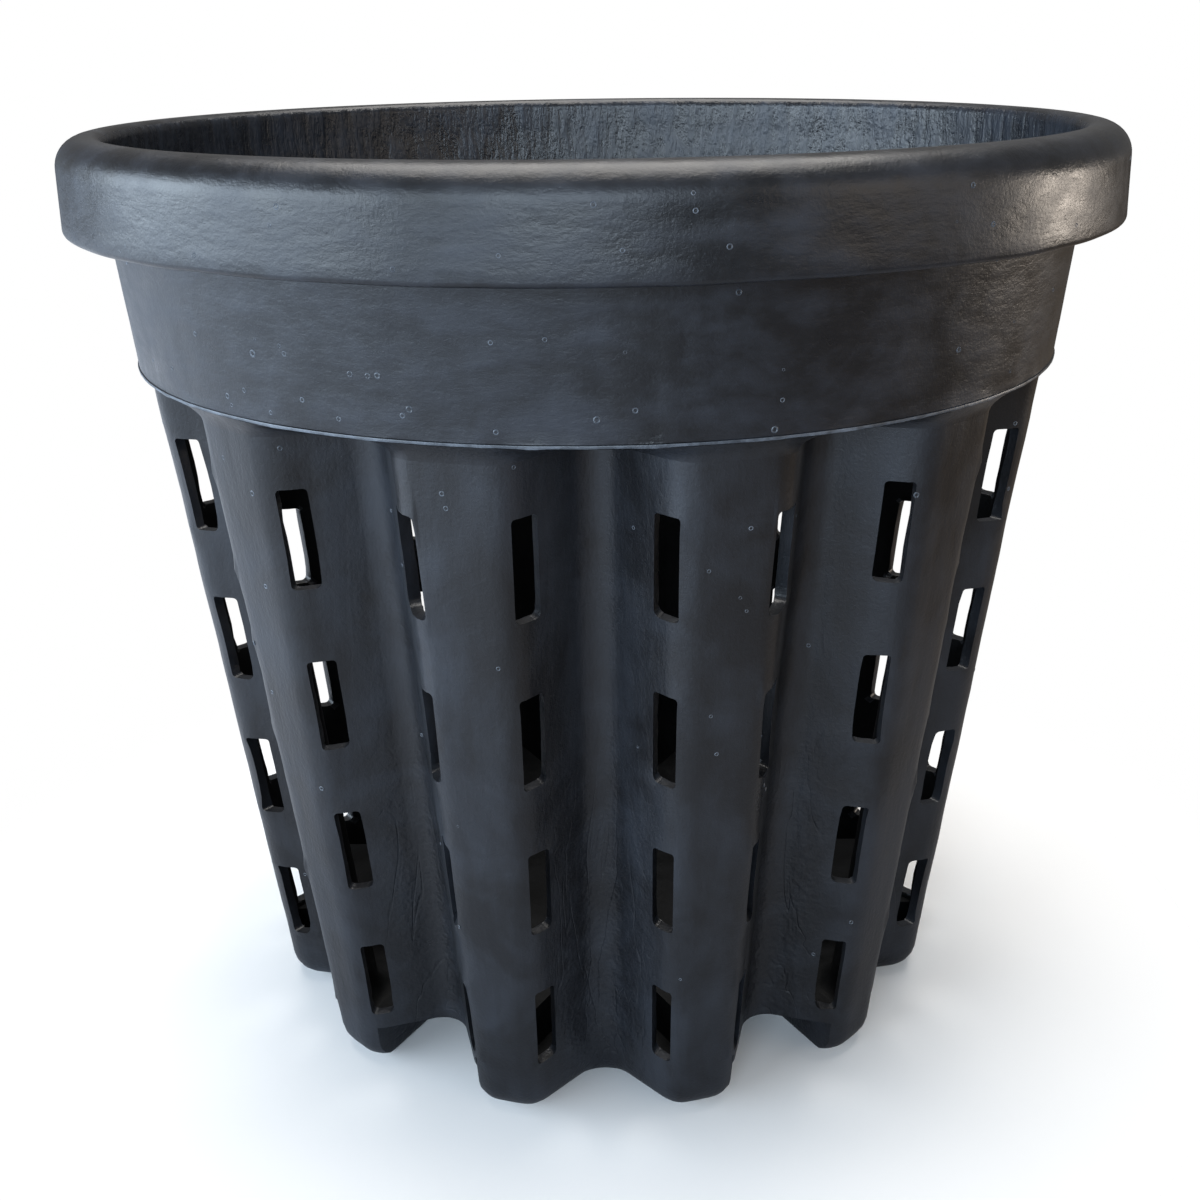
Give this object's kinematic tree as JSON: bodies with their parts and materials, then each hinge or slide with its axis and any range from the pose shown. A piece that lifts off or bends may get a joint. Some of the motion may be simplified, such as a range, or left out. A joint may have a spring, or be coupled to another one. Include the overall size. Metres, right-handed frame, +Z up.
{
  "type": "slotted orchid pot",
  "caption": "Tapered round plastic plant pot with a hanging rim skirt, a plain collar, lobed walls pierced by upright air slots, and hollow feet between air channels.",
  "frame": {"origin": "centre of the pot on the surface that its feet stand on", "axes": "+Z up along the pot's axis, out of its mouth; -Y the front, where a valley between two lobes faces; +X to the right seen from the front"},
  "size_m": [0.1502, 0.1502, 0.1346],
  "materials": {
    "pot_plastic": "dark charcoal moulded plastic with a dull sheen"
  },
  "bodies": {
    "root": {"rim": "pot_plastic", "skirt": "pot_plastic", "collar": "pot_plastic", "shelf": "pot_plastic", "lobe_01": "pot_plastic", "lobe_02": "pot_plastic", "lobe_03": "pot_plastic", "lobe_04": "pot_plastic", "lobe_05": "pot_plastic", "lobe_06": "pot_plastic", "lobe_07": "pot_plastic", "lobe_08": "pot_plastic", "lobe_09": "pot_plastic", "lobe_10": "pot_plastic", "lobe_11": "pot_plastic", "lobe_12": "pot_plastic", "floor_web": "pot_plastic", "foot_01": "pot_plastic", "foot_02": "pot_plastic", "foot_03": "pot_plastic", "foot_04": "pot_plastic", "foot_05": "pot_plastic", "foot_06": "pot_plastic"}
  },
  "joints": []
}
